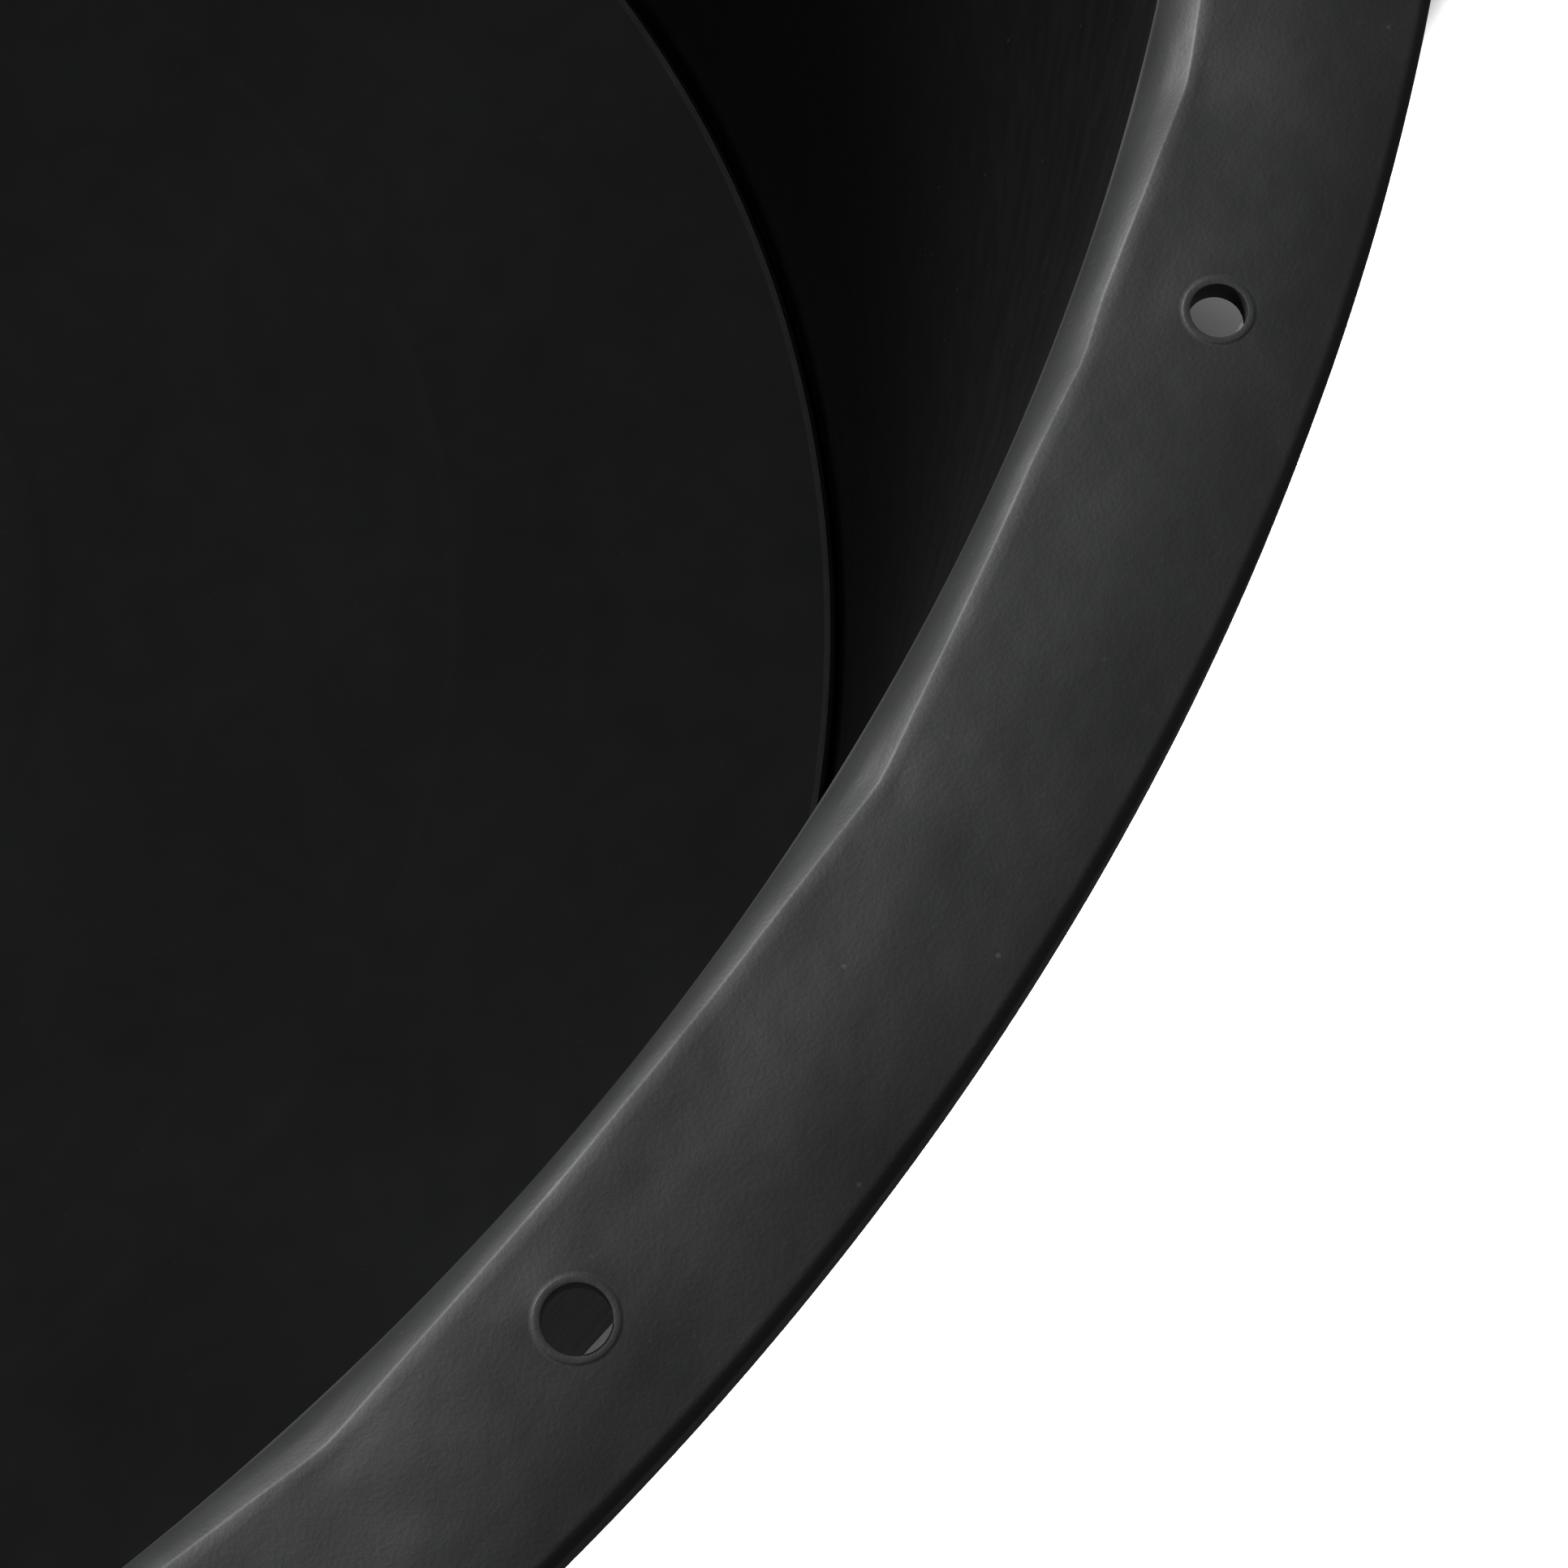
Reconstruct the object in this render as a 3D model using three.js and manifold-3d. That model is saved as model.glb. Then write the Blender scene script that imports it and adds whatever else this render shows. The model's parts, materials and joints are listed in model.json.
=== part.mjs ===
// Mortar mixing tub: a round, tapered tub moulded in black polyethylene, with a flat
// rim flange that carries two pairs of holes for rope handles. It is set out here as
// the regions of the moulding: wall, floor disc, foot ring, rim flange in arcs with an
// eye round each rope hole, turned-down rim edge, and the ribs that hold the flange up.
// Millimetres, +Z up, origin in the middle of the ring that the tub stands on.
import * as THREE from 'three';
import { mergeVertices } from 'three/addons/utils/BufferGeometryUtils.js';
import Module from 'manifold-3d';

// Driving dimensions.
const rimRadius = 325;
const tubHeight = 400;
const flangeThickness = 3.5;
const flangeInnerRadius = 304.2;
const innerRadiusTop = 298;
const innerRadiusBottom = 265.5;
const wallThickness = 3.6;
const floorRadius = 263;
const floorTop = 10;
const floorThickness = 4;
const floorStepRadii = [99, 184];
const floorStepHeight = 0.5;
const skirtDepth = 9;
const skirtThickness = 3.4;
const handleHoleDiameters = { left: 5.8, right: 6.8 };
const handleHoleCircles = { left: 312.3, right: 310.7 };
const handleHolePairAngle = 22.2;
const ribAngleByHoles = 15.65;
const ribsPerSide = 9;
const ribThickness = 3;
const ribDepth = 26;
const footRingRadius = 186;
const footRingThickness = 5;
const gap = 0.3;

// Facets: sides of the whole round, sides of a small hole, and degrees to a step of a
// rounded corner.
const segments = 80;
const holeSides = 16;
const cornerStep = 22.5;

// Roughness of the finishes: satin outside, blasted inside, scuffed where it is stood on.
const satin = 0.4;
const blasted = 0.5;
const scuffed = 0.6;

// Sizes that follow from them.
const flangeBottom = tubHeight - flangeThickness;
const floorBottom = floorTop - floorThickness;
const wallSlope = (innerRadiusTop - innerRadiusBottom) / (tubHeight - floorTop);
const wallTilt = THREE.MathUtils.radToDeg(Math.atan(wallSlope));
const innerRadiusAt = (z) => innerRadiusBottom + wallSlope * (z - floorTop);
const outerRadiusAt = (z) => innerRadiusAt(z) + wallThickness;

const black = (roughness) => new THREE.MeshStandardMaterial({
  color: 0x1a1b1c, roughness, metalness: 0,
});
const tub = new THREE.Group();

function addPiece(name, geometry, roughness) {
  const mesh = new THREE.Mesh(geometry, black(roughness));
  mesh.name = name;
  tub.add(mesh);
  return mesh;
}

// A ring or disc turned about +Z from its section, given as [radius, height] points
// that run anticlockwise with the radius to the right.
function turned(section, closed = true) {
  const points = section.map(([radius, height]) => new THREE.Vector2(radius, height));
  if (closed) points.push(points[0].clone());
  return new THREE.LatheGeometry(points, segments).rotateX(Math.PI / 2);
}

// Arc points for a rounded corner in a section, angles in degrees.
function arc(centreRadius, centreHeight, radius, from, to) {
  const steps = Math.ceil(Math.abs(to - from) / cornerStep);
  return Array.from({ length: steps + 1 }, (_, i) => {
    const angle = THREE.MathUtils.degToRad(from + ((to - from) * i) / steps);
    return [centreRadius + radius * Math.cos(angle), centreHeight + radius * Math.sin(angle)];
  });
}

const wasm = await Module();
wasm.setup();

function toSolid(geometry) {
  const bare = geometry.clone();
  bare.deleteAttribute('normal');
  bare.deleteAttribute('uv');
  const merged = mergeVertices(bare, 1e-4);
  return new wasm.Manifold(new wasm.Mesh({
    numProp: 3,
    vertProperties: new Float32Array(merged.attributes.position.array),
    triVerts: new Uint32Array(merged.index.array),
  }));
}

function toGeometry(solid) {
  const { vertProperties, triVerts } = solid.getMesh();
  const geometry = new THREE.BufferGeometry();
  geometry.setAttribute('position', new THREE.BufferAttribute(vertProperties, 3));
  geometry.setIndex(new THREE.BufferAttribute(triVerts, 1));
  geometry.computeVertexNormals();
  return geometry;
}

// Wall: tapered, with a rolled and chamfered mouth, and a rounded bottom edge that turns
// in under the floor disc. It is laid out as four quarters, each of them cut from the
// whole ring by a square wedge.
const mouthEdgeRadius = 302.2;
const rollRadius = 3;
const chamferDepth = 10;
const chamferTilt = 67;
const heelRadius = 5;
const heelCentre = outerRadiusAt(heelRadius) - heelRadius;
const coveRadius = 2;
const coveCentre = innerRadiusAt(floorBottom + coveRadius) - coveRadius;
const wholeWall = toSolid(turned([
  [floorRadius + gap, 0],
  ...arc(heelCentre, heelRadius, heelRadius, -90, -wallTilt),
  [outerRadiusAt(flangeBottom - gap), flangeBottom - gap],
  [flangeInnerRadius - gap, flangeBottom - gap],
  [flangeInnerRadius - gap, tubHeight],
  ...arc(mouthEdgeRadius, tubHeight - rollRadius, rollRadius, 90, 90 + chamferTilt),
  [innerRadiusAt(tubHeight - chamferDepth), tubHeight - chamferDepth],
  ...arc(coveCentre, floorBottom + coveRadius, coveRadius, 0, -90),
  [floorRadius + gap, floorBottom],
]));
const wedgeReach = 2 * rimRadius;
const wedgeTip = gap / Math.SQRT2;
const wedge = new THREE.ExtrudeGeometry(new THREE.Shape([
  new THREE.Vector2(wedgeTip, 0),
  new THREE.Vector2(wedgeReach, wedgeTip - wedgeReach),
  new THREE.Vector2(wedgeReach, wedgeReach - wedgeTip),
]), { depth: 2 * tubHeight, bevelEnabled: false }).translate(0, 0, -tubHeight / 2);
['front', 'left', 'back', 'right'].forEach((side, quarter) => {
  const turnedWedge = toSolid(wedge.clone().rotateZ((quarter * Math.PI) / 2));
  addPiece(`side_wall_${side}`, toGeometry(wholeWall.intersect(turnedWedge)), satin);
});

// Floor disc: one sheet with two concentric steps that stiffen it.
const [innerStep, outerStep] = floorStepRadii;
const lowFloor = floorTop - floorStepHeight;
const edgeRounding = 2;
addPiece('floor_disc', turned([
  [0, floorBottom],
  [floorRadius, floorBottom],
  ...arc(floorRadius - edgeRounding, floorTop - edgeRounding, edgeRounding, 0, 90),
  [outerStep + floorStepHeight, floorTop],
  [outerStep, lowFloor],
  [innerStep + floorStepHeight, lowFloor],
  [innerStep, floorTop],
  [0, floorTop],
], false), blasted);

// Foot ring under the floor disc, half way out.
addPiece('foot_ring', turned([
  [footRingRadius - footRingThickness, 0],
  [footRingRadius, 0],
  [footRingRadius, floorBottom - gap],
  [footRingRadius - footRingThickness, floorBottom - gap],
]), scuffed);

// Rim flange: a flat ring in arcs, with a short arc round each of the four holes for
// the rope handles. Angles are in degrees from +X.
const flangeOuterRadius = rimRadius - skirtThickness - gap;
const arcGap = THREE.MathUtils.radToDeg(gap / flangeInnerRadius);
const eyeHalfAngle = 2.4;

function flangeArc(from, to, holeAngle = null, hand = null) {
  const [start, end] = [from + arcGap / 2, to - arcGap / 2].map(THREE.MathUtils.degToRad);
  const outline = new THREE.Shape();
  outline.absarc(0, 0, flangeOuterRadius, start, end, false);
  outline.absarc(0, 0, flangeInnerRadius, end, start, true);
  if (hand !== null) {
    const angle = THREE.MathUtils.degToRad(holeAngle);
    const x = handleHoleCircles[hand] * Math.cos(angle);
    const y = handleHoleCircles[hand] * Math.sin(angle);
    const hole = new THREE.Path();
    hole.absarc(x, y, handleHoleDiameters[hand] / 2, 0, 2 * Math.PI, true);
    outline.holes.push(hole);
  }
  // Each arc of an outline is cut into twice as many sides as curveSegments says.
  const arcSides = Math.ceil(((to - from) / 360) * segments);
  const curveSegments = Math.ceil(Math.max(holeSides, arcSides) / 2);
  return new THREE.ExtrudeGeometry(outline, {
    depth: flangeThickness, curveSegments, bevelEnabled: false,
  }).translate(0, 0, flangeBottom);
}

const eyeCentre = handleHolePairAngle / 2;
for (const [side, middle] of [['front', 0], ['back', 180]]) {
  const inner = eyeCentre - eyeHalfAngle;
  const outer = eyeCentre + eyeHalfAngle;
  addPiece(`rim_flange_${side}`, flangeArc(middle - inner, middle + inner), satin);
  addPiece(`rope_eye_${side}_right`, flangeArc(
    middle - outer, middle - inner, middle - eyeCentre, 'right',
  ), satin);
  addPiece(`rope_eye_${side}_left`, flangeArc(
    middle + inner, middle + outer, middle + eyeCentre, 'left',
  ), satin);
}
const longArcStart = eyeCentre + eyeHalfAngle;
addPiece('rim_flange_left', flangeArc(longArcStart, 180 - longArcStart), satin);
addPiece('rim_flange_right', flangeArc(180 + longArcStart, 360 - longArcStart), satin);

// Turned-down rim edge, rounded over at the top.
const edgeRadius = 3;
addPiece('rim_edge', turned([
  [rimRadius - skirtThickness, tubHeight - skirtDepth],
  [rimRadius, tubHeight - skirtDepth],
  ...arc(rimRadius - edgeRadius, tubHeight - edgeRadius, edgeRadius, 0, 90),
  [rimRadius - skirtThickness, tubHeight],
]), satin);

// Ribs under the flange: upright plates, cut away below in a straight slope from the
// rim edge to the wall.
const ribOuterDepth = 5;
const ribTop = flangeBottom - gap;
const ribOutline = new THREE.Shape([
  new THREE.Vector2(outerRadiusAt(ribTop) + gap, ribTop),
  new THREE.Vector2(outerRadiusAt(ribTop - ribDepth) + gap, ribTop - ribDepth),
  new THREE.Vector2(flangeOuterRadius - gap, ribTop - ribOuterDepth),
  new THREE.Vector2(flangeOuterRadius - gap, ribTop),
]);
const sideStep = (180 - 2 * ribAngleByHoles) / (ribsPerSide + 1);
const sideRibs = Array.from({ length: ribsPerSide }, (_, i) => ribAngleByHoles + (i + 1) * sideStep);
const leftRibs = [ribAngleByHoles, ...sideRibs, 180 - ribAngleByHoles];
const ribAngles = [0, ...leftRibs, 180, ...leftRibs.map((angle) => 180 + angle)];
ribAngles.forEach((angle, i) => {
  const plate = new THREE.ExtrudeGeometry(ribOutline, { depth: ribThickness, bevelEnabled: false })
    .translate(0, 0, -ribThickness / 2)
    .rotateX(Math.PI / 2);
  const rib = addPiece(`rim_rib_${String(i + 1).padStart(2, '0')}`, plate, satin);
  rib.rotation.z = THREE.MathUtils.degToRad(angle);
});

export default tub;
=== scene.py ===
# A black polyethylene mortar mixing tub, standing on a pale floor in soft studio light.
# The moulding is one piece on the bench. Here its body, floor, foot ring and ribs are
# separate meshes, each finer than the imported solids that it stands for.
import json
import math

import bmesh
import bpy
from mathutils import Matrix, Vector, noise


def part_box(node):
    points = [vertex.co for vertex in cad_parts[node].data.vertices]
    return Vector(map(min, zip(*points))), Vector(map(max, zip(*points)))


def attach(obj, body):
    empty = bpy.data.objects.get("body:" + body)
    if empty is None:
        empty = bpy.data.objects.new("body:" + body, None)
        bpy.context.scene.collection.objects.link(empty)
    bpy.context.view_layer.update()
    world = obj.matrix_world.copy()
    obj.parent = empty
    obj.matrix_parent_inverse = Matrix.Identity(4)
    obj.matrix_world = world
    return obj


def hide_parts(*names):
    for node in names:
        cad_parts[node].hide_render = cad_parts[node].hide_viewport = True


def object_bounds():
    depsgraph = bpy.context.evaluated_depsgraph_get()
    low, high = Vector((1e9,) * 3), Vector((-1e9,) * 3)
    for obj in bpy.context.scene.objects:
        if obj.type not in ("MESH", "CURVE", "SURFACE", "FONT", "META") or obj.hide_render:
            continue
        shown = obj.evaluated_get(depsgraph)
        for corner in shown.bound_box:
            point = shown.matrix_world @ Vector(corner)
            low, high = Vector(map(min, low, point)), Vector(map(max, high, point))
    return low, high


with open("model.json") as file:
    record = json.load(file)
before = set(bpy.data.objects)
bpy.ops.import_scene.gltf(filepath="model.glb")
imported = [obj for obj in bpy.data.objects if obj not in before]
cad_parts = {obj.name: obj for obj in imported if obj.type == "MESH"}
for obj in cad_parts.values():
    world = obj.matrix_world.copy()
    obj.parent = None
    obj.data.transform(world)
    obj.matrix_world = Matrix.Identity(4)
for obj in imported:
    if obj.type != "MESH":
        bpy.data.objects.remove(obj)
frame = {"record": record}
cad_low, cad_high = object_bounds()
MM = 0.001

# ---------------------------------------------------------------------------
# Camera. It hangs above and just outside the rim, near one of the rope holes, and
# looks down past the rim flange into the tub with a long lens.
SENSOR_WIDTH = 36
FOCAL_LENGTH = 84.6
RADII_OUT, RADII_ALONG, RADII_ABOVE_RIM = 1.0654, -0.3021, 1.0461
CAMERA_TURN = (17.316, -0.578, 30.950)
rim_radius = (cad_high.x - cad_low.x) / 2
tub_height = cad_high.z

camera = bpy.data.objects.new("camera", bpy.data.cameras.new("camera"))
bpy.context.collection.objects.link(camera)
bpy.context.scene.camera = camera
camera.data.sensor_width = SENSOR_WIDTH
camera.data.lens = FOCAL_LENGTH
camera.location = (
    RADII_OUT * rim_radius,
    RADII_ALONG * rim_radius,
    tub_height + RADII_ABOVE_RIM * rim_radius,
)
camera.rotation_euler = [math.radians(angle) for angle in CAMERA_TURN]

# ---------------------------------------------------------------------------
# Tub body. Wall, rolled mouth, flange and turned-down edge are one skin of black
# polyethylene about 4 mm thick, shot in a polished steel mould. The flange is very
# slightly crowned, and it is drilled by hand afterwards for the rope handles.
WALL = 3.6 * MM
MOUTH_RADIUS = 298.0 * MM
FOOT_RADIUS = 265.5 * MM
FLANGE_START = 303.7 * MM
LIP_EASE = 8.0 * MM
LIP_EASE_TURN = 18
LIP_EDGE = 0.9 * MM
LIP_ROLL = 16.2 * MM
LIP_TURN = 45
CHAMFER_DROP = 10.0 * MM
CHAMFER_TILT = 74
BEAD = 0.12 * MM
HEEL = 5.0 * MM
COVE = 1.0 * MM
EDGE_WALL = 3.4 * MM
EDGE_ROLL = 1.5 * MM
EDGE_ROUND = 0.6 * MM
CORNER = 1.0 * MM
CROWN = 0.7 * MM
GROOVE = 6.0 * MM
WEB_IN = 2.0 * MM
WEB_OVERLAP = 1.0 * MM
NECK_ROUND = 2.0 * MM
STEPS = 900
SHARP = math.radians(50)
floor_low, floor_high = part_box("floor_disc")
floor_level = floor_high.z
floor_radius = floor_high.x
floor_under = floor_low.z
under_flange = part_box("rim_flange_front")[0].z
edge_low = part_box("rim_edge")[0].z


def linear(hex_colour):
    """An sRGB hex colour as linear red, green, blue and alpha."""
    channels = [int(hex_colour[i : i + 2], 16) / 255 for i in (1, 3, 5)]
    return [c / 12.92 if c <= 0.04045 else ((c + 0.055) / 1.055) ** 2.4 for c in channels] + [1.0]


def add_node(material, kind, links=(), values=(), **settings):
    """Adds a node. Links are (input socket, node, output socket), values are (input
    socket, value), and settings go to the node's own fields or its named sockets."""
    node = material.node_tree.nodes.new(kind)
    for name, value in settings.items():
        if hasattr(node, name):
            setattr(node, name, value)
        else:
            node.inputs[name.replace("_", " ")].default_value = value
    for socket, value in values:
        node.inputs[socket].default_value = value
    for socket, source, output in links:
        material.node_tree.links.new(source.outputs[output], node.inputs[socket])
    return node


def arc(centre_r, centre_z, radius, start, end, steps):
    """Points of a rounded corner in the section, angles in degrees."""
    angles = [math.radians(start + (end - start) * i / steps) for i in range(steps + 1)]
    return [(centre_r + radius * math.cos(a), centre_z + radius * math.sin(a)) for a in angles]


def straight(start, end, steps):
    """Points between two ends of a straight stretch, both ends left out."""
    return [
        tuple(a + (b - a) * i / steps for a, b in zip(start, end)) for i in range(1, steps)
    ]


def new_piece(name, bm, materials, *replaced):
    """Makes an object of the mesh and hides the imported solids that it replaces."""
    mesh = bpy.data.meshes.new(name)
    bm.to_mesh(mesh)
    bm.free()
    piece = bpy.data.objects.new(name, mesh)
    bpy.context.collection.objects.link(piece)
    for material in materials:
        mesh.materials.append(material)
    for face in mesh.polygons:
        face.use_smooth = True
    mesh.set_sharp_from_angle(angle=SHARP)
    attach(piece, "root")
    if replaced:
        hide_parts(*replaced)
    return piece


def spun(section, steps=STEPS, closed=True):
    """Turns a section of (radius, height) points once round the tub's axis."""
    bm = bmesh.new()
    verts = [bm.verts.new((r, 0, z)) for r, z in section]
    pairs = list(zip(verts, verts[1:])) + ([(verts[-1], verts[0])] if closed else [])
    edges = [bm.edges.new(pair) for pair in pairs]
    bmesh.ops.spin(
        bm,
        geom=verts + edges,
        cent=(0, 0, 0),
        axis=(0, 0, 1),
        angle=2 * math.pi,
        steps=steps,
        use_merge=True,
    )
    bmesh.ops.remove_doubles(bm, verts=bm.verts, dist=1e-6)
    bmesh.ops.recalc_face_normals(bm, faces=bm.faces)
    return bm


def inner_radius(z):
    share = (z - floor_level) / (tub_height - floor_level)
    return FOOT_RADIUS + (MOUTH_RADIUS - FOOT_RADIUS) * share


def crown(r):
    """How far the flange's upper face lies below its highest circle."""
    middle = (FLANGE_START + rim_radius) / 2
    half = (rim_radius - FLANGE_START) / 2
    return CROWN * ((r - middle) / half) ** 2


flange_end = rim_radius - EDGE_ROLL
edge_top = tub_height - crown(flange_end)
edge_inside = rim_radius - EDGE_WALL
chamfer_z = tub_height - CHAMFER_DROP
heel_r = inner_radius(HEEL) + WALL - HEEL
web_r = floor_radius - WEB_IN
groove_z = floor_level - GROOVE
neck_z = under_flange - NECK_ROUND
neck_r = inner_radius(neck_z) + WALL

# Underside of the foot, the rounded heel, up the outer wall and out under the flange.
section = [(web_r, floor_under + WEB_OVERLAP), (web_r, 0.0)]
section += arc(heel_r, HEEL, HEEL, -90, -4, 8)
section += straight(section[-1], (neck_r, neck_z), 5)
section += arc(neck_r + NECK_ROUND, neck_z, NECK_ROUND, 180, 90, 4)
section += straight(section[-1], (edge_inside - CORNER, under_flange), 6)
# Down inside the rim edge, round its lower lip, up its face and over on to the flange.
section += arc(edge_inside - CORNER, under_flange - CORNER, CORNER, 90, 0, 3)
section += arc(edge_inside + EDGE_ROUND, edge_low + EDGE_ROUND, EDGE_ROUND, 180, 270, 3)
section += arc(rim_radius - EDGE_ROUND, edge_low + EDGE_ROUND, EDGE_ROUND, -90, 0, 3)
section += straight(section[-1], (rim_radius, edge_top - EDGE_ROLL), 3)
section += arc(flange_end, edge_top - EDGE_ROLL, EDGE_ROLL, 0, 90, 8)
flange_radii = [flange_end + (FLANGE_START - flange_end) * i / 14 for i in range(1, 14)]
section += [(r, tub_height - crown(r)) for r in flange_radii]
# Over the mouth: an easy start, a tight edge, a slower roll, a steep land and the bead at
# its foot.
mouth_top = tub_height - crown(FLANGE_START)
crown_fall = math.atan(4 * CROWN / (rim_radius - FLANGE_START))
ease_r = FLANGE_START + LIP_EASE * math.sin(crown_fall)
ease_z = mouth_top - LIP_EASE * math.cos(crown_fall)
section += arc(ease_r, ease_z, LIP_EASE, 90 + math.degrees(crown_fall), 90 + LIP_EASE_TURN, 6)
ease = math.radians(LIP_EASE_TURN)
edge_r = section[-1][0] + LIP_EDGE * math.sin(ease)
edge_z = section[-1][1] - LIP_EDGE * math.cos(ease)
section += arc(edge_r, edge_z, LIP_EDGE, 90 + LIP_EASE_TURN, 90 + LIP_TURN, 6)[1:]
turn = math.radians(LIP_TURN)
roll_r = section[-1][0] + LIP_ROLL * math.sin(turn)
roll_z = section[-1][1] - LIP_ROLL * math.cos(turn)
section += arc(roll_r, roll_z, LIP_ROLL, 90 + LIP_TURN, 90 + CHAMFER_TILT, 8)[1:]
bead_r = inner_radius(chamfer_z) + 0.1 * MM
section += straight(section[-1], (bead_r + 0.1 * MM, chamfer_z + 1.4 * BEAD), 5)
section += arc(bead_r, chamfer_z, BEAD, 130, 190, 5)
# Down the inner wall to the cove that runs in under the floor's edge.
section += straight((inner_radius(chamfer_z - MM), chamfer_z - MM), (FOOT_RADIUS, groove_z + COVE), 10)
section += arc(FOOT_RADIUS - COVE, groove_z + COVE, COVE, 0, -90, 5)

body_mesh = spun(section)

# Each rib under the flange draws the hot plastic down as it cools. So the flange sinks a
# little above it, and the mouth steps outwards there and bows in between two ribs. A
# small flat of the same kind is left beside each left-hand hole.
SINK = 0.16 * MM
SINK_WIDTH = math.radians(1.0)
LIP_SINK = 0.22 * MM
LIP_SINK_WIDTH = math.radians(0.8)
LIP_SINK_REACH = 6 * MM
LIP_SHIFT = 2.1 * MM
LIP_BOW = 0.85
LIP_REACH = math.radians(3.2)
LIP_CORNER = math.radians(0.25)
FLAT_OFF = math.radians(1.7)
FLAT_SHARE = 0.5
SHIFT_DEPTH = 2 * MM
LIP_BAND = 3 * MM
SINK_FADE = 0.7
WAVE = 0.20 * MM
FINE_WAVE = 0.05 * MM
SETTLE = 0.35 * MM
ribs = [f"rim_rib_{number:02d}" for number in range(1, 25)]
holes = {}
for opening in frame["record"]["physics"]["openings"]:
    if opening["name"].startswith("rope_hole"):
        low, high = opening["box_m"]
        holes[opening["name"]] = (Vector(low) + Vector(high)) / 2


def bearing(point):
    return math.atan2(point.y, point.x)


def turn_between(a, b):
    return abs((a - b + math.pi) % (2 * math.pi) - math.pi)


rib_angles = [bearing(sum(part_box(rib), Vector()) / 2) for rib in ribs]
flats = [bearing(place) - FLAT_OFF for name, place in holes.items() if name.endswith("left")]
for vert in body_mesh.verts:
    x, y, z = vert.co
    if z < chamfer_z:
        continue
    r = math.hypot(x, y)
    angle = math.atan2(y, x)
    off = min(turn_between(angle, rib) for rib in rib_angles)
    off_flat = min(turn_between(angle, flat) for flat in flats)
    if z > under_flange + 0.5 * MM:
        across = max(0.0, 1 - SINK_FADE * (r - FLANGE_START) / (flange_end - FLANGE_START))
        near = max(0.0, 1 - abs(r - FLANGE_START) / LIP_SINK_REACH)
        lip_dip = math.exp(-((off / LIP_SINK_WIDTH) ** 2))
        lip_dip += FLAT_SHARE * math.exp(-((off_flat / LIP_SINK_WIDTH) ** 2))
        vert.co.z -= SINK * math.exp(-((off / SINK_WIDTH) ** 2)) * across
        vert.co.z -= LIP_SINK * lip_dip * near * near
    if r < FLANGE_START + LIP_BAND:
        near_lip = min(1.0, max(0.0, (FLANGE_START + LIP_BAND - r) / LIP_BAND))
        step_off = math.hypot(off, LIP_CORNER)
        flat_off = math.hypot(off_flat, LIP_CORNER)
        cusp = max(math.exp(-step_off / LIP_REACH), FLAT_SHARE * math.exp(-2 * flat_off / LIP_REACH))
        depth = max(0.0, min(1.0, (z - chamfer_z) / (CHAMFER_DROP - SHIFT_DEPTH)))
        shift = LIP_SHIFT * (cusp - LIP_BOW) * near_lip * depth
        vert.co.x += shift * math.cos(angle)
        vert.co.y += shift * math.sin(angle)
    # The mould is cut by hand in places, so no circle is quite true. The rim also lies a
    # little low, which keeps its waves and burrs under the tub's full height.
    wave = noise.noise(Vector((math.cos(angle) * 2.2, math.sin(angle) * 2.2, z * 6)))
    fine = noise.noise(Vector((math.cos(angle) * 14, math.sin(angle) * 14, z * 20)))
    lift = max(0.0, (z - chamfer_z) / (tub_height - chamfer_z))
    vert.co.z += (WAVE * wave + FINE_WAVE * fine - SETTLE) * lift

# The inner wall is struck off a polished core, so it has a finish of its own: smoother, and painted near
# black as painted shade inside the tub.
SATIN, POLISHED_PAINTED_SHADE, DRILLED_PAINTED_HALO, TORN_PAINTED_LIGHT = 0, 1, 2, 3
for face in body_mesh.faces:
    centre = face.calc_center_median()
    if centre.z < chamfer_z - BEAD and math.hypot(centre.x, centre.y) < inner_radius(centre.z) + WALL / 3:
        face.material_index = POLISHED_PAINTED_SHADE

# Rope holes: drilled from above, with a raised burr round each, painted slightly paler as a painted
# highlight round the hole. The two holes of a pair come out a little different, and the bigger one keeps a
# flake, painted pale grey as painted light.
HOLE_RADII = {"left": 2.9 * MM, "right": 3.4 * MM}
HOLE_STEPS = 48
WINDOW_ANGLE = math.radians(1.3)
WINDOW_REACH = 6.2 * MM
BURR_WIDTH = 0.8 * MM
BURR_HEIGHT = 0.06 * MM
BURR_APRON = 1.4
EXIT_CHAMFER = 0.25 * MM
FLAKE_PLACE = 0.80
FLAKE_DEPTH = 0.2 * MM
FLAKE_THICKNESS = 0.5 * MM


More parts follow.
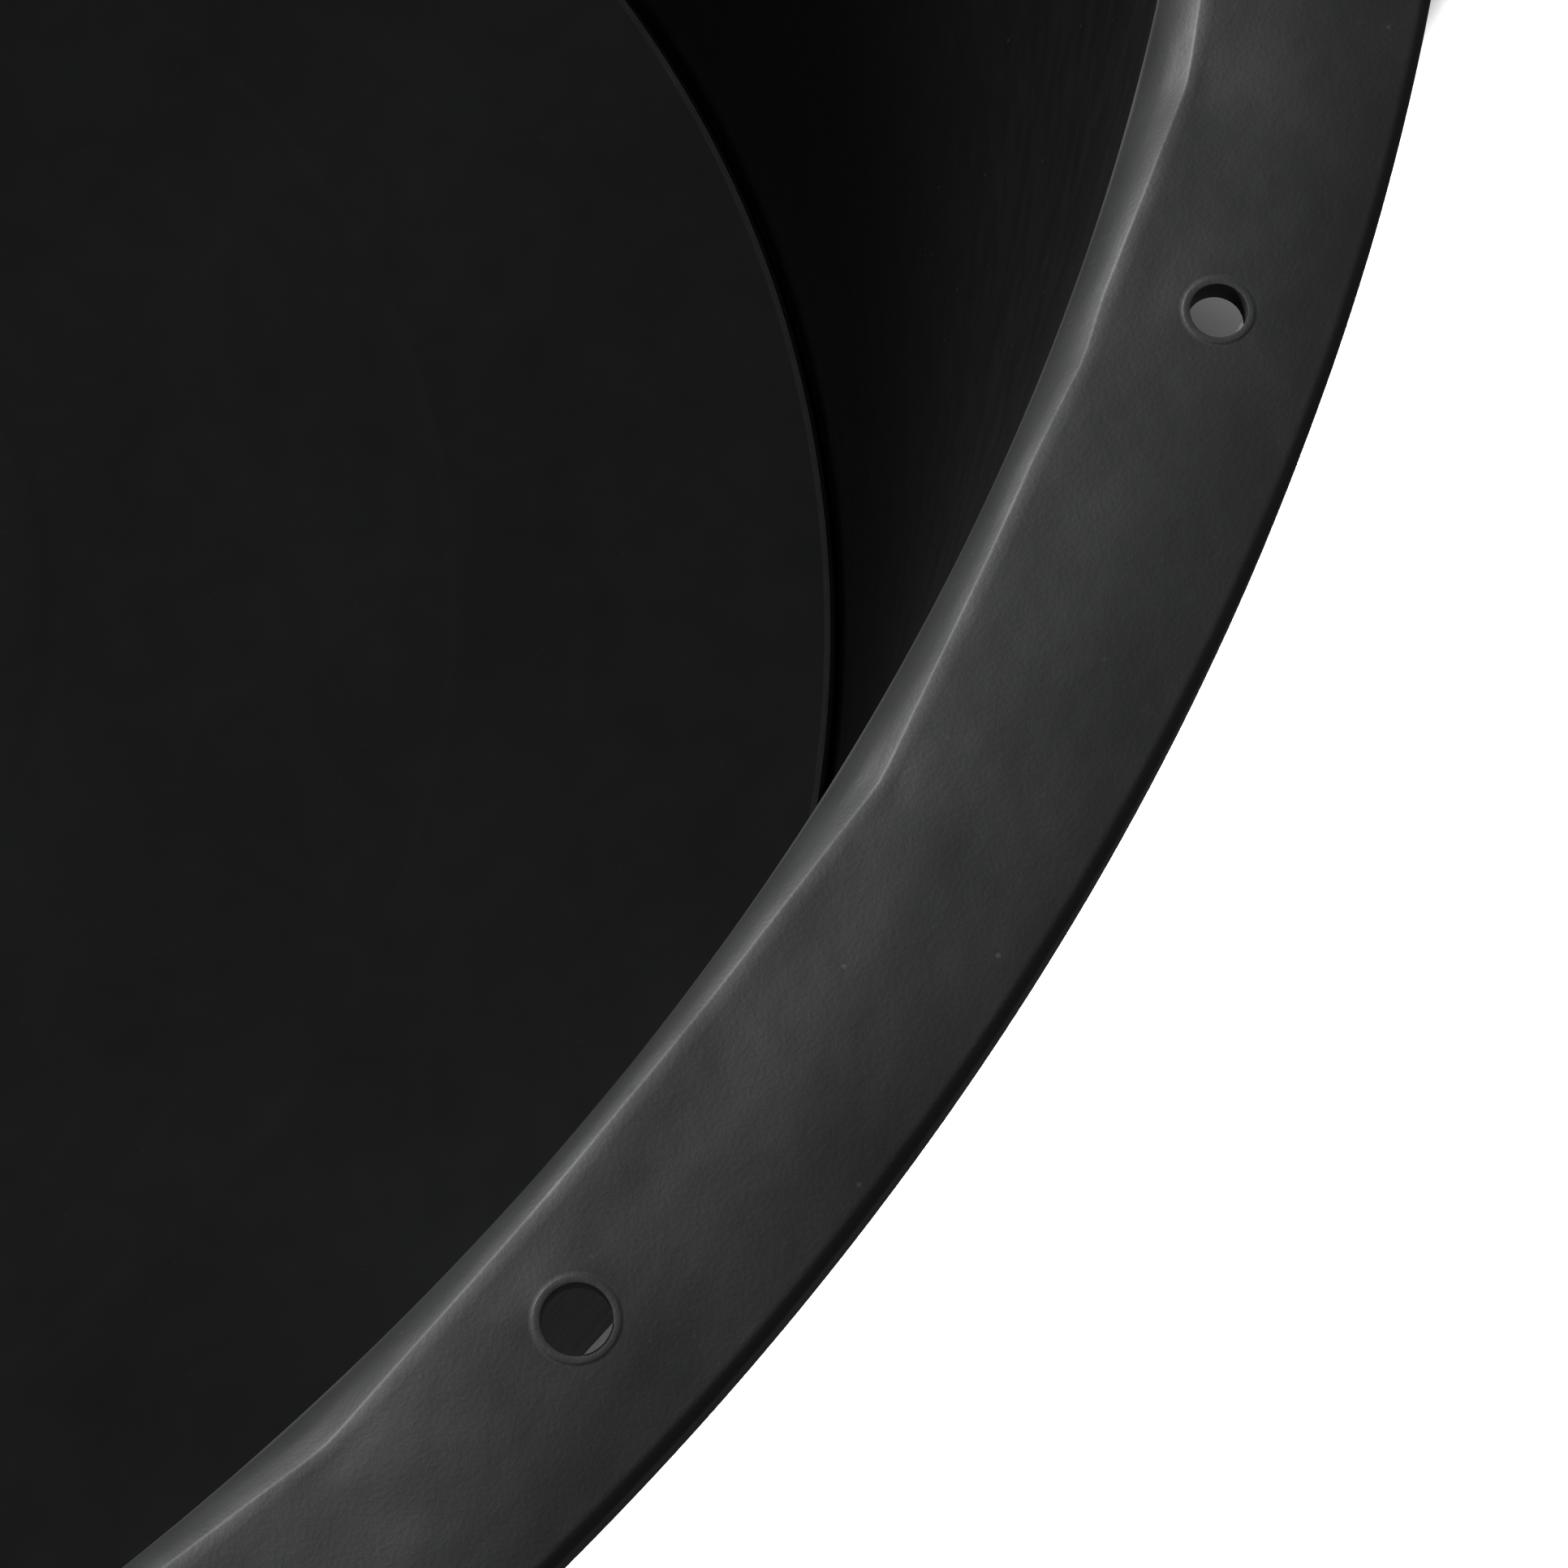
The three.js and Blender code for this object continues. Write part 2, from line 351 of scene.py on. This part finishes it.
def drill(bm, x, y, hole_radius):
    """Opens a window in the flange's two faces round (x, y) and bridges it to the
    drilled hole, burr first."""
    angle, distance = math.atan2(y, x), math.hypot(x, y)
    windows = {"top": {}, "under": {}}
    for face in bm.faces:
        centre = face.calc_center_median()
        if centre.z < under_flange - 0.5 * MM or abs(face.normal.z) < 0.7:
            continue
        off = turn_between(math.atan2(centre.y, centre.x), angle)
        if off < WINDOW_ANGLE and abs(math.hypot(centre.x, centre.y) - distance) < WINDOW_REACH:
            windows["top" if centre.z > tub_height - 1.5 * MM else "under"][face] = True
    rings = {}
    for side, faces in windows.items():
        edges = dict.fromkeys(edge for face in faces for edge in face.edges)
        rings[side] = [edge for edge in edges if sum(face in faces for face in edge.link_faces) == 1]
    top_z = max(vert.co.z for edge in rings["top"] for vert in edge.verts)
    gone = list(windows["top"]) + list(windows["under"])
    bmesh.ops.delete(bm, geom=gone, context="FACES_KEEP_BOUNDARY")

    # The burr is a small round ridge, then the hole goes straight down.
    ridge = arc(hole_radius + BURR_WIDTH / 2, 0, BURR_WIDTH / 2, 0, 150, 6)
    # The burr and the top of the hole wall are painted slightly paler: a painted highlight.
    levels = [(r, top_z + z * 2 * BURR_HEIGHT / BURR_WIDTH, DRILLED_PAINTED_HALO) for r, z in ridge]
    levels += [
        (hole_radius, top_z - 0.1 * MM, DRILLED_PAINTED_HALO),
        (hole_radius, under_flange + 0.2 * MM, SATIN),
        (hole_radius + EXIT_CHAMFER, under_flange, SATIN),
    ]
    ring_radius, ring_z = hole_radius + BURR_APRON * BURR_WIDTH, top_z
    verts = bmesh.ops.create_circle(
        bm,
        cap_ends=False,
        segments=HOLE_STEPS,
        radius=ring_radius,
        matrix=Matrix.Translation((x, y, ring_z)) @ Matrix.Rotation(angle, 4, "Z"),
    )["verts"]
    edges = list(dict.fromkeys(edge for vert in verts for edge in vert.link_edges))
    bmesh.ops.bridge_loops(bm, edges=rings["top"] + edges)
    for radius, z, finish in levels:
        made = bmesh.ops.extrude_edge_only(bm, edges=edges)["geom"]
        verts = [item for item in made if isinstance(item, bmesh.types.BMVert)]
        share = radius / ring_radius
        bmesh.ops.scale(bm, verts=verts, vec=(share, share, 1), space=Matrix.Translation((-x, -y, 0)))
        bmesh.ops.translate(bm, verts=verts, vec=(0, 0, z - ring_z))
        for item in made:
            if isinstance(item, bmesh.types.BMFace):
                item.material_index = finish
        edges = [item for item in made if isinstance(item, bmesh.types.BMEdge)]
        edges = [edge for edge in edges if edge.verts[0] in verts and edge.verts[1] in verts]
        ring_radius, ring_z = radius, z
    bmesh.ops.bridge_loops(bm, edges=edges + rings["under"])


def leave_flake(bm, x, y, hole_radius):
    """A thin half-moon of plastic that the drill left across the outer side of a hole."""
    outwards = Vector((x, y, 0)).normalized()
    centre = Vector((x, y, tub_height - FLAKE_DEPTH))
    disc = bmesh.ops.create_circle(
        bm,
        cap_ends=True,
        segments=HOLE_STEPS,
        radius=hole_radius - 0.02 * MM,
        matrix=Matrix.Translation(centre),
    )["verts"]
    parts = disc + list(dict.fromkeys(edge for vert in disc for edge in vert.link_edges))
    parts += list(dict.fromkeys(face for vert in disc for face in vert.link_faces))
    kept = bmesh.ops.bisect_plane(
        bm,
        geom=parts,
        plane_co=centre + outwards * FLAKE_PLACE * hole_radius,
        plane_no=outwards,
        clear_inner=True,
    )["geom"]
    moon = [item for item in kept if isinstance(item, bmesh.types.BMFace)]
    made = bmesh.ops.extrude_face_region(bm, geom=moon)["geom"]
    lower = [item for item in made if isinstance(item, bmesh.types.BMVert)]
    bmesh.ops.translate(bm, verts=lower, vec=(0, 0, -FLAKE_THICKNESS))
    # The flake's pale grey is painted light.
    for face in [face for vert in lower for face in vert.link_faces] + moon:
        face.material_index = TORN_PAINTED_LIGHT


for name, place in holes.items():
    radius = HOLE_RADII[name.split("_")[-1]]
    drill(body_mesh, place.x, place.y, radius)
    if name.endswith("right"):
        leave_flake(body_mesh, place.x, place.y, radius)
bmesh.ops.recalc_face_normals(body_mesh, faces=body_mesh.faces)


# Sizes of the patterns in moulded polyethylene.
FLOW = 60 * MM
SAG = 22 * MM
SAG_DEPTH = 1.6 * MM
RIPPLE = 5 * MM
TEXTURE = 0.5 * MM
STROKE = 1.6 * MM
SHEEN = 9 * MM
DUST_CELL = 3 * MM


def polyethylene(name, tone, roughness, grain, scuffs):
    """Black polyethylene as it leaves the mould: near black all through, satin, with the
    fine texture of a spark-eroded mould, faint paler rubs and specks of dust."""
    material = bpy.data.materials.new(name)
    material.use_nodes = True
    material.node_tree.nodes.clear()
    place = add_node(material, "ShaderNodeTexCoord")
    on_place = ("Vector", place, "Object")

    # The tone drifts slowly, as the melt flowed.
    flow = add_node(material, "ShaderNodeTexNoise", [on_place], Scale=1 / FLOW, Detail=3.0)
    drift = add_node(
        material, "ShaderNodeMapRange", [("Value", flow, "Fac")], From_Min=0.35, From_Max=0.65
    )
    dark = linear(tone)
    base = add_node(
        material,
        "ShaderNodeMix",
        [("Factor", drift, "Result")],
        [(6, dark), (7, [1.35 * channel for channel in dark[:3]] + [1.0])],
        data_type="RGBA",
    )

    # Rubs: long thin paler strokes where tubs have been stacked in each other.
    stretch = add_node(
        material,
        "ShaderNodeMapping",
        [on_place],
        [("Scale", (1.0, 1.0, 0.15)), ("Rotation", (0.2, 0.4, 0.9))],
    )
    strokes = add_node(
        material,
        "ShaderNodeTexNoise",
        [("Vector", stretch, "Vector")],
        Scale=1 / STROKE,
        Detail=4.0,
        Distortion=0.6,
    )
    rub = add_node(
        material,
        "ShaderNodeMapRange",
        [("Value", strokes, "Fac")],
        From_Min=0.66,
        From_Max=0.76,
        To_Max=scuffs,
    )
    rubbed = add_node(
        material,
        "ShaderNodeMix",
        [("Factor", rub, "Result"), (6, base, 2)],
        [(7, linear("#2c2d2e"))],
        data_type="RGBA",
    )

    # Dust: a few pale specks, each about half a millimetre across.
    cells = add_node(material, "ShaderNodeTexVoronoi", [on_place], Scale=1 / DUST_CELL)
    speck = add_node(
        material,
        "ShaderNodeMapRange",
        [("Value", cells, "Distance")],
        From_Min=0.05,
        From_Max=0.12,
        To_Min=1.0,
        To_Max=0.0,
    )
    cell_colour = add_node(material, "ShaderNodeSeparateColor", [("Color", cells, "Color")])
    rare = add_node(
        material, "ShaderNodeMapRange", [("Value", cell_colour, "Red")], From_Min=0.90, From_Max=0.92
    )
    dust = add_node(
        material, "ShaderNodeMath", [(0, speck, "Result"), (1, rare, "Result")], operation="MULTIPLY"
    )
    dusty = add_node(
        material,
        "ShaderNodeMix",
        [("Factor", dust, "Value"), (6, rubbed, 2)],
        [(7, linear("#363737"))],
        data_type="RGBA",
    )

    # The gloss varies a little with the flow and drops where the skin is rubbed.
    patches = add_node(material, "ShaderNodeTexNoise", [on_place], Scale=1 / SHEEN, Detail=4.0)
    sheen = add_node(
        material,
        "ShaderNodeMapRange",
        [("Value", patches, "Fac")],
        From_Min=0.3,
        From_Max=0.7,
        To_Min=roughness - 0.03,
        To_Max=roughness + 0.03,
    )
    gloss = add_node(material, "ShaderNodeMath", [(0, sheen, "Result"), (1, rub, "Result")], operation="ADD")

    # Height: the slow sag of a cooling sheet, a ripple, and the mould's own texture.
    sagging = add_node(material, "ShaderNodeTexNoise", [on_place], Scale=1 / SAG, Detail=1.0)
    sag = add_node(
        material, "ShaderNodeBump", [("Height", sagging, "Fac")], Strength=1.0, Distance=grain * SAG_DEPTH
    )
    rippling = add_node(material, "ShaderNodeTexNoise", [on_place], Scale=1 / RIPPLE, Detail=1.0)
    ripple = add_node(
        material,
        "ShaderNodeBump",
        [("Height", rippling, "Fac"), ("Normal", sag, "Normal")],
        Strength=1.0,
        Distance=0.12 * MM,
    )
    eroded = add_node(
        material, "ShaderNodeTexNoise", [on_place], Scale=1 / TEXTURE, Detail=2.0, Roughness=0.6
    )
    skin = add_node(
        material,
        "ShaderNodeBump",
        [("Height", eroded, "Fac"), ("Normal", ripple, "Normal")],
        Strength=grain,
        Distance=0.03 * MM,
    )
    shader = add_node(
        material,
        "ShaderNodeBsdfPrincipled",
        [("Base Color", dusty, 2), ("Roughness", gloss, "Value"), ("Normal", skin, "Normal")],
        IOR=1.5,
    )
    add_node(material, "ShaderNodeOutputMaterial", [("Surface", shader, "BSDF")])
    return material


walls = [f"side_wall_{side}" for side in ("front", "back", "left", "right")]
flange_arcs = [f"rim_flange_{side}" for side in ("front", "back", "left", "right")]
eyes = [name.replace("rope_hole", "rope_eye") for name in holes]
new_piece(
    "tub_body",
    body_mesh,
    [
        polyethylene("satin_black_polyethylene", "#141516", 0.57, 1.0, 0.10),
        # The inner wall's near-black tone is painted shade.
        polyethylene("polished_painted_shade_polyethylene", "#050505", 0.32, 0.3, 0.03),
        # The burr's paler tone is a painted highlight.
        polyethylene("drilled_painted_halo_polyethylene", "#232424", 0.50, 1.0, 0.10),
        # The flake's pale grey is painted light, for the light seen at that side of the hole.
        polyethylene("torn_flake_painted_light", "#484949", 0.60, 1.0, 0.10),
    ],
    "rim_edge",
    *walls,
    *flange_arcs,
    *eyes,
)

# ---------------------------------------------------------------------------
# Floor of the tub. The same moulding, but rougher to the eye, because the mould's core
# is only blasted here. Two shallow concentric steps keep it from drumming, and a fine
# bead runs round its edge, beside the groove at the foot of the wall.
RING_RADII = (99.0 * MM, 184.0 * MM)
RING_STEP = 0.5 * MM
RING_WIDTHS = (1.6 * MM, 0.8 * MM)
FLOOR_ROUND = 1.2 * MM
RIM_BEAD = 0.3 * MM
EDGE_GAP = 0.8 * MM


def soft_step(r, at, width):
    return 0.5 + 0.5 * math.tanh((r - at) / width)


def floor_height(r):
    """Upper face: high in the middle, low between the rings, high again outside."""
    low = soft_step(r, RING_RADII[0], RING_WIDTHS[0]) - soft_step(r, RING_RADII[1], RING_WIDTHS[1])
    return floor_level - RING_STEP * low


floor_edge = FOOT_RADIUS - EDGE_GAP
bead_start = floor_edge - 2 * FLOOR_ROUND
radii = {i * 6 * MM for i in range(43)}
for ring in RING_RADII:
    radii |= {ring + i * 0.4 * MM for i in range(-7, 8)}
radii = sorted(r for r in radii if r < bead_start - MM)
floor_section = [(0.0, floor_under), (floor_edge - 0.5 * MM, floor_under)]
floor_section += [(floor_edge, floor_under + 0.5 * MM)]
floor_section += arc(floor_edge - FLOOR_ROUND, floor_level - FLOOR_ROUND, FLOOR_ROUND, 0, 60, 5)
bead_z = floor_level - 0.4 * RIM_BEAD
floor_section += arc(floor_edge - FLOOR_ROUND, bead_z, RIM_BEAD, 30, 150, 8)
floor_section += [(bead_start, floor_level)]
floor_section += [(r, floor_height(r)) for r in reversed(radii)]
floor_mesh = spun(floor_section, 480, closed=False)
for face in floor_mesh.faces:
    centre = face.calc_center_median()
    if math.hypot(centre.x, centre.y) > bead_start:
        face.material_index = 1
new_piece(
    "tub_floor",
    floor_mesh,
    [
        polyethylene("blasted_black_polyethylene", "#242526", 0.85, 0.9, 0.05),
        polyethylene("bead_black_polyethylene", "#121313", 0.55, 0.4, 0.05),
    ],
    "floor_disc",
)

# ---------------------------------------------------------------------------
# Foot ring. A low ring moulded under the floor, half way out, that the tub also stands
# on. Its lower edges are rounded and scuffed by the ground.
FOOT_WIDTH = 6.0 * MM
FOOT_ROUND = 1.2 * MM
foot_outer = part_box("foot_ring")[1].x
foot_inner = foot_outer - FOOT_WIDTH
foot_top = floor_under + 0.2 * MM
foot_section = [(foot_outer, foot_top), (foot_inner, foot_top)]
foot_section += arc(foot_inner + FOOT_ROUND, FOOT_ROUND, FOOT_ROUND, 180, 270, 4)
foot_section += arc(foot_outer - FOOT_ROUND, FOOT_ROUND, FOOT_ROUND, -90, 0, 4)
new_piece(
    "standing_ring",
    spun(foot_section, 360),
    [polyethylene("scuffed_black_polyethylene", "#1a1b1b", 0.60, 1.0, 0.8)],
    "foot_ring",
)

# ---------------------------------------------------------------------------
# Ribs. Twenty-four upright webs moulded under the flange carry its load down to the
# wall. Each is a thin plate with a hollow curved lower edge and rounded arrises.
RIB_THICKNESS = 3.0 * MM
RIB_OUTER_DROP = 6.0 * MM
RIB_ROUND = 0.8 * MM
RIB_ROOT = 1.0 * MM
RIB_CURVE = 0.35
RIB_STEPS = 8
rib_skin = polyethylene("rib_black_polyethylene", "#141516", 0.50, 0.6, 0.15)
rib_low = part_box("rim_rib_01")[0].z
rib_drop = under_flange - rib_low
rib_top = under_flange + RIB_ROOT
wall_low = inner_radius(rib_low) + WALL - RIB_ROOT
wall_top = neck_r - 0.2 * RIB_ROOT
rib_end = edge_inside + RIB_ROOT
for rib, angle in zip(ribs, rib_angles):
    bm = bmesh.new()
    outline = [(wall_low, rib_low)]
    for step in range(1, RIB_STEPS + 1):
        t = step / RIB_STEPS
        rise = (rib_drop - RIB_OUTER_DROP) * (RIB_CURVE * t + (1 - RIB_CURVE) * t * t)
        outline.append((wall_low + (rib_end - wall_low) * t, rib_low + rise))
    outline += [(rib_end, rib_top), (wall_top, rib_top)]
    verts = [bm.verts.new((r, -RIB_THICKNESS / 2, z)) for r, z in outline]
    plate = bm.faces.new(verts)
    made = bmesh.ops.extrude_face_region(bm, geom=[plate])["geom"]
    moved = [item for item in made if isinstance(item, bmesh.types.BMVert)]
    bmesh.ops.translate(bm, verts=moved, vec=(0, RIB_THICKNESS, 0))
    bmesh.ops.recalc_face_normals(bm, faces=bm.faces)
    arrises = [edge for edge in bm.edges if len(edge.link_faces) == 2 and edge.calc_face_angle() > 1.0]
    bmesh.ops.bevel(
        bm, geom=arrises, offset=RIB_ROUND, segments=3, profile=0.5, affect="EDGES", material=-1
    )
    bmesh.ops.rotate(bm, verts=bm.verts, cent=(0, 0, 0), matrix=Matrix.Rotation(angle, 3, "Z"))
    new_piece(rib.replace("rim_rib", "rib"), bm, [rib_skin], rib)

# ---------------------------------------------------------------------------
# Studio. A plain white paper floor under a sun lamp of its own, a soft key light on the
# far side of the tub, a wide soft light overhead and a dim even surround.
GROUND_SIZE = 40.0
ground_mesh = bmesh.new()
bmesh.ops.create_grid(ground_mesh, x_segments=1, y_segments=1, size=GROUND_SIZE / 2)
ground_data = bpy.data.meshes.new("ground")
ground_mesh.to_mesh(ground_data)
ground_mesh.free()
ground = bpy.data.objects.new("ground", ground_data)
bpy.context.collection.objects.link(ground)
ground.location.z = cad_low.z
paper = bpy.data.materials.new("white_paper")
paper.use_nodes = True
paper.node_tree.nodes.clear()
# The paper looks white, but throws little light back up at the tub.
lit = add_node(paper, "ShaderNodeBsdfDiffuse", Color=linear("#d2d2d2"))
shaded = add_node(paper, "ShaderNodeBsdfDiffuse", Color=linear("#2c2c2c"))
path = add_node(paper, "ShaderNodeLightPath")
blend = add_node(
    paper,
    "ShaderNodeMixShader",
    [("Fac", path, "Is Camera Ray"), (1, shaded, "BSDF"), (2, lit, "BSDF")],
)
add_node(paper, "ShaderNodeOutputMaterial", [("Surface", blend, "Shader")])
ground_data.materials.append(paper)

paper_only = bpy.data.collections.new("paper_only")
paper_only.objects.link(ground)
paper_lamp = bpy.data.objects.new("paper_lamp", bpy.data.lights.new("paper_lamp", "SUN"))
bpy.context.collection.objects.link(paper_lamp)
paper_lamp.data.energy = 20
paper_lamp.data.angle = math.radians(2)
paper_lamp.rotation_euler = (math.radians(60), 0, math.radians(2.4))
paper_lamp.light_linking.receiver_collection = paper_only

world = bpy.data.worlds.new("studio")
world.use_nodes = True
world.node_tree.nodes.clear()
direction = add_node(world, "ShaderNodeTexCoord")
side = add_node(
    world,
    "ShaderNodeVectorMath",
    [(0, direction, "Generated")],
    [(1, (-0.85, 0.52, 0.0))],
    operation="DOT_PRODUCT",
)
brightness = add_node(
    world,
    "ShaderNodeMapRange",
    [("Value", side, "Value")],
    From_Min=-1.0,
    From_Max=1.0,
    To_Min=0.12,
    To_Max=0.18,
)
surround = add_node(
    world, "ShaderNodeBackground", [("Strength", brightness, "Result")], Color=linear("#ffffff")
)
backdrop = add_node(world, "ShaderNodeBackground", Color=linear("#ffffff"), Strength=0.9)
world_path = add_node(world, "ShaderNodeLightPath")
world_blend = add_node(
    world,
    "ShaderNodeMixShader",
    [("Fac", world_path, "Is Camera Ray"), (1, surround, "Background"), (2, backdrop, "Background")],
)
add_node(world, "ShaderNodeOutputWorld", [("Surface", world_blend, "Shader")])
bpy.context.scene.world = world
bpy.context.scene.view_settings.view_transform = "Standard"


def soft_light(name, location, target, size, watts):
    lamp = bpy.data.lights.new(name, "AREA")
    lamp.shape = "DISK"
    lamp.size = size
    lamp.energy = watts
    light = bpy.data.objects.new(name, lamp)
    bpy.context.collection.objects.link(light)
    light.location = location
    light.rotation_euler = (Vector(target) - Vector(location)).to_track_quat("-Z", "Y").to_euler()


soft_light("key", (-2.2, 0.3, 1.42), (0, 0, 0.4), 0.8, 120)
soft_light("overhead", (-1.2, -0.1, 2.6), (0, 0, 0.4), 1.4, 15)
